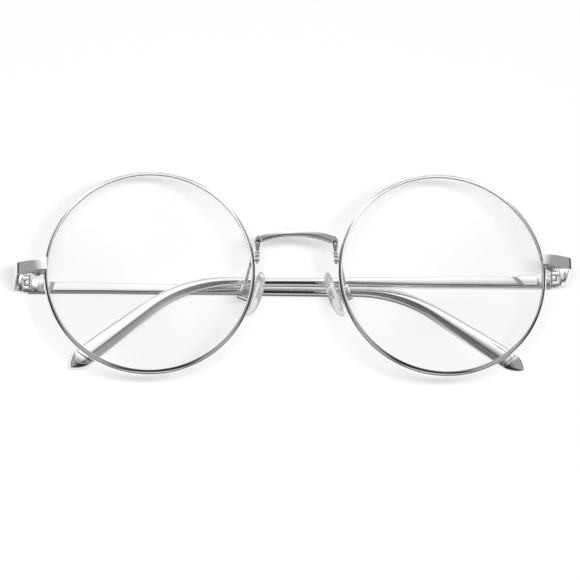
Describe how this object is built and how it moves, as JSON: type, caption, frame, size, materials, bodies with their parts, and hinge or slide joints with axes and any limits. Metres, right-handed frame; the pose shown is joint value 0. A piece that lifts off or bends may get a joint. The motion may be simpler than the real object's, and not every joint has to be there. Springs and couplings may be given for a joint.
{
  "type": "round eyeglasses",
  "caption": "Round wire eyeglasses with clear lenses, a raised bridge, swivelling nose pads and two temples folded behind the front.",
  "frame": {"origin": "on the surface that the folded glasses lie on, under the middle of the whole part's box", "axes": "+X to the right temple's hinge as seen from the front, +Y to the top of the rims, +Z out of the front, up from the surface"},
  "size_m": [0.1368, 0.0514, 0.0231],
  "materials": {
    "silver_metal": "polished",
    "screw_steel": "satin",
    "clear_lens": "gloss",
    "soft_pad": "satin",
    "pad_core": "satin"
  },
  "bodies": {
    "front": {"bridge": "silver_metal", "rim_left": "silver_metal", "lens_left": "clear_lens", "end_piece_left": "silver_metal", "closing_block_upper_left": "silver_metal", "closing_block_lower_left": "silver_metal", "rim_screw_left": "screw_steel", "hinge_front_leaf_left": "silver_metal", "hinge_screw_left": "screw_steel", "pad_arm_left": "silver_metal", "pad_box_left": "silver_metal", "pad_screw_left": "screw_steel", "rim_right": "silver_metal", "lens_right": "clear_lens", "end_piece_right": "silver_metal", "closing_block_upper_right": "silver_metal", "closing_block_lower_right": "silver_metal", "rim_screw_right": "screw_steel", "hinge_front_leaf_right": "silver_metal", "hinge_screw_right": "screw_steel", "pad_arm_right": "silver_metal", "pad_box_right": "silver_metal", "pad_screw_right": "screw_steel"},
    "temple_left": {"temple_left": "silver_metal", "hinge_temple_leaf_left": "silver_metal", "tip_cap_left": "silver_metal"},
    "pad_left": {"pad_core_left": "pad_core", "nose_pad_left": "soft_pad"},
    "temple_right": {"temple_right": "silver_metal", "hinge_temple_leaf_right": "silver_metal", "tip_cap_right": "silver_metal"},
    "pad_right": {"pad_core_right": "pad_core", "nose_pad_right": "soft_pad"}
  },
  "joints": [
    {"name": "temple_left_fold", "type": "hinge", "parent": "front", "child": "temple_left", "pos_m": [-0.06475, 0.0012, 0.0037], "axis": [0, 1, 0], "range_deg": [0, 94.2]},
    {"name": "temple_right_fold", "type": "hinge", "parent": "front", "child": "temple_right", "pos_m": [0.06475, 0.0034, 0.0066], "axis": [0, -1, 0], "range_deg": [0, 96.8]},
    {"name": "pad_left_swivel", "type": "hinge", "parent": "front", "child": "pad_left", "pos_m": [-0.0125, -0.0033, 0.01377], "axis": [0.1758, -0.0642, 0.9823], "range_deg": [-8, 8]},
    {"name": "pad_right_swivel", "type": "hinge", "parent": "front", "child": "pad_right", "pos_m": [0.0121, -0.0033, 0.01432], "axis": [-0.2196, -0.0642, 0.9735], "range_deg": [-8, 8]}
  ]
}
